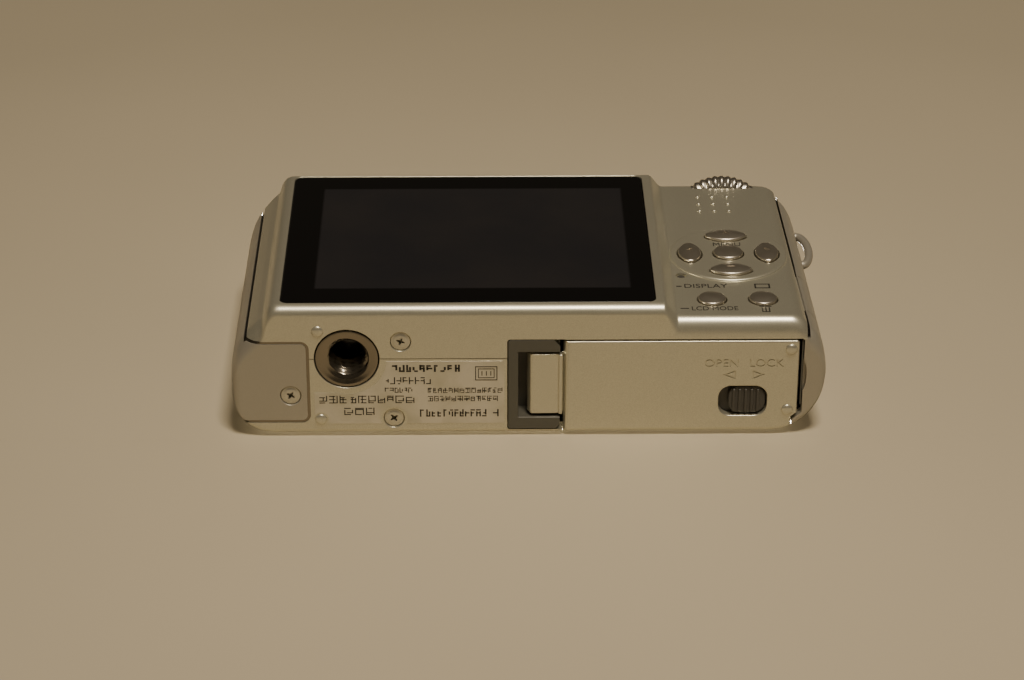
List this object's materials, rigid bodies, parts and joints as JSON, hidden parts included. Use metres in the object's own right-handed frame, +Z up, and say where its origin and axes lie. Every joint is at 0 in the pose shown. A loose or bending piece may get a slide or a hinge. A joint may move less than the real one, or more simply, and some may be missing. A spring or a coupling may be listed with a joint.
{
  "type": "compact digital camera",
  "caption": "Slim silver pocket camera with a large rear display, retracting zoom lens, push-button pad, mode dial and a hinged battery door in its base.",
  "frame": {"origin": "centre of the bounding box at its lowest level, where the four feet under the base stand", "axes": "+X along the width towards the end without controls, +Y towards the rear display, +Z up through the shutter button; the lens points along -Y"},
  "size_m": [0.0954, 0.0242, 0.0537],
  "materials": {
    "silver_paint": "satin metallic paint",
    "trim_paint": "satin metallic paint",
    "dark_plastic": "moulded satin",
    "black_gloss": "polished",
    "chrome": "polished plating",
    "steel": "turned satin",
    "clear": "clear polished",
    "label_film": "thin worn film",
    "board_green": "solder mask",
    "amber": "clear amber",
    "battery_grey": "moulded",
    "card_blue": "moulded",
    "copper_film": "thin film"
  },
  "bodies": {
    "camera": {"front_shell": "silver_paint", "rear_shell": "silver_paint", "plain_end_trim": "trim_paint", "grip_end_trim": "trim_paint", "display_window": "black_gloss", "hinge_block": "dark_plastic", "door_hinge_pin": "steel", "tripod_socket": "steel", "base_screw_rear": "steel", "base_screw_front": "steel", "tab_screw": "steel", "base_label": "label_film", "lens_ring": "steel", "lens_housing": "dark_plastic", "flash_window": "clear", "flash_reflector": "chrome", "focus_lamp_lens": "amber", "strap_eyelet": "steel", "av_socket": "steel", "battery_holder": "dark_plastic", "battery": "battery_grey", "memory_card": "card_blue", "card_slot": "steel", "main_board": "board_green", "chassis_plate": "steel", "key_board": "board_green", "top_switch_board": "board_green", "image_sensor_board": "board_green", "display_module": "dark_plastic", "display_flex_cable": "copper_film", "zoom_motor": "steel", "flash_capacitor": "black_gloss", "speaker": "dark_plastic", "microphone": "steel"},
    "battery_door": {"battery_door": "silver_paint"},
    "door_latch": {"door_latch": "dark_plastic"},
    "battery_catch": {"battery_catch": "amber"},
    "up_button": {"up_button": "chrome"},
    "down_button": {"down_button": "chrome"},
    "left_button": {"left_button": "chrome"},
    "right_button": {"right_button": "chrome"},
    "centre_button": {"centre_button": "chrome"},
    "display_button": {"display_button": "chrome"},
    "delete_button": {"delete_button": "chrome"},
    "mode_dial": {"mode_dial": "steel"},
    "zoom_lever": {"zoom_lever": "steel"},
    "shutter_button": {"shutter_button": "chrome"},
    "power_switch": {"power_switch": "chrome"},
    "stabiliser_button": {"stabiliser_button": "chrome"},
    "outer_barrel": {"lens_outer_barrel": "steel"},
    "inner_barrel": {"lens_inner_barrel": "steel", "front_lens_group": "clear"},
    "upper_blade": {"upper_barrier_blade": "dark_plastic"},
    "lower_blade": {"lower_barrier_blade": "dark_plastic"},
    "socket_flap": {"socket_flap": "trim_paint"}
  },
  "joints": [
    {"name": "battery_door_hinge", "type": "hinge", "parent": "camera", "child": "battery_door", "pos_m": [-0.0001, -0.00228, 0.0022], "axis": [0, -1, 0], "range_deg": [0, 95]},
    {"name": "door_latch_slide", "type": "slide", "parent": "battery_door", "child": "door_latch", "axis": [1, 0, 0], "range_m": [0, 0.0014]},
    {"name": "inner_battery_catch", "type": "slide", "parent": "camera", "child": "battery_catch", "axis": [0, -1, 0], "range_m": [0, 0.0008], "stiffness_N_per_m": 200},
    {"name": "press_up", "type": "slide", "parent": "camera", "child": "up_button", "axis": [0, -1, 0], "range_m": [0, 0.00035], "stiffness_N_per_m": 600},
    {"name": "press_down", "type": "slide", "parent": "camera", "child": "down_button", "axis": [0, -1, 0], "range_m": [0, 0.00035], "stiffness_N_per_m": 600},
    {"name": "press_left", "type": "slide", "parent": "camera", "child": "left_button", "axis": [0, -1, 0], "range_m": [0, 0.00035], "stiffness_N_per_m": 600},
    {"name": "press_right", "type": "slide", "parent": "camera", "child": "right_button", "axis": [0, -1, 0], "range_m": [0, 0.00035], "stiffness_N_per_m": 600},
    {"name": "press_centre", "type": "slide", "parent": "camera", "child": "centre_button", "axis": [0, -1, 0], "range_m": [0, 0.00035], "stiffness_N_per_m": 600},
    {"name": "press_display", "type": "slide", "parent": "camera", "child": "display_button", "axis": [0, -1, 0], "range_m": [0, 0.00035], "stiffness_N_per_m": 600},
    {"name": "press_delete", "type": "slide", "parent": "camera", "child": "delete_button", "axis": [0, -1, 0], "range_m": [0, 0.00035], "stiffness_N_per_m": 600},
    {"name": "press_shutter", "type": "slide", "parent": "camera", "child": "shutter_button", "axis": [0, 0, -1], "range_m": [0, 0.0006], "stiffness_N_per_m": 800},
    {"name": "press_stabiliser", "type": "slide", "parent": "camera", "child": "stabiliser_button", "axis": [0, 0, -1], "range_m": [0, 0.0005], "stiffness_N_per_m": 600},
    {"name": "mode_dial_turn", "type": "hinge", "parent": "camera", "child": "mode_dial", "pos_m": [-0.0331, 0.0028, 0.04995], "axis": [0, 0, 1], "continuous": true},
    {"name": "power_switch_slide", "type": "slide", "parent": "camera", "child": "power_switch", "axis": [-1, 0, 0], "range_m": [0, 0.003]},
    {"name": "zoom_lever_turn", "type": "hinge", "parent": "camera", "child": "zoom_lever", "pos_m": [-0.0152, -0.0004, 0.0514], "axis": [0, 0, 1], "range_deg": [-25, 25], "stiffness_Nm_per_rad": 0.02},
    {"name": "lens_extend", "type": "slide", "parent": "camera", "child": "outer_barrel", "axis": [0, -1, 0], "range_m": [0, 0.0095]},
    {"name": "lens_inner_extend", "type": "slide", "parent": "outer_barrel", "child": "inner_barrel", "axis": [0, -1, 0], "range_m": [0, 0.0095]},
    {"name": "lens_upper_blade", "type": "hinge", "parent": "inner_barrel", "child": "upper_blade", "pos_m": [0.0274, -0.01025, 0.0273], "axis": [0, 1, 0], "range_deg": [0, 36]},
    {"name": "lens_lower_blade", "type": "hinge", "parent": "inner_barrel", "child": "lower_blade", "pos_m": [0.0274, -0.01025, 0.0239], "axis": [0, -1, 0], "range_deg": [0, 36]},
    {"name": "socket_flap_hinge", "type": "hinge", "parent": "camera", "child": "socket_flap", "pos_m": [-0.04625, 0.0024, 0.01425], "axis": [0, 0, 1], "range_deg": [0, 100]}
  ],
  "couplings": [
    {"joint": "lens_inner_extend", "follows": "lens_extend", "ratio": 1},
    {"joint": "lens_upper_blade", "follows": "lens_extend", "rad_per_m": 66},
    {"joint": "lens_lower_blade", "follows": "lens_extend", "rad_per_m": 66}
  ]
}
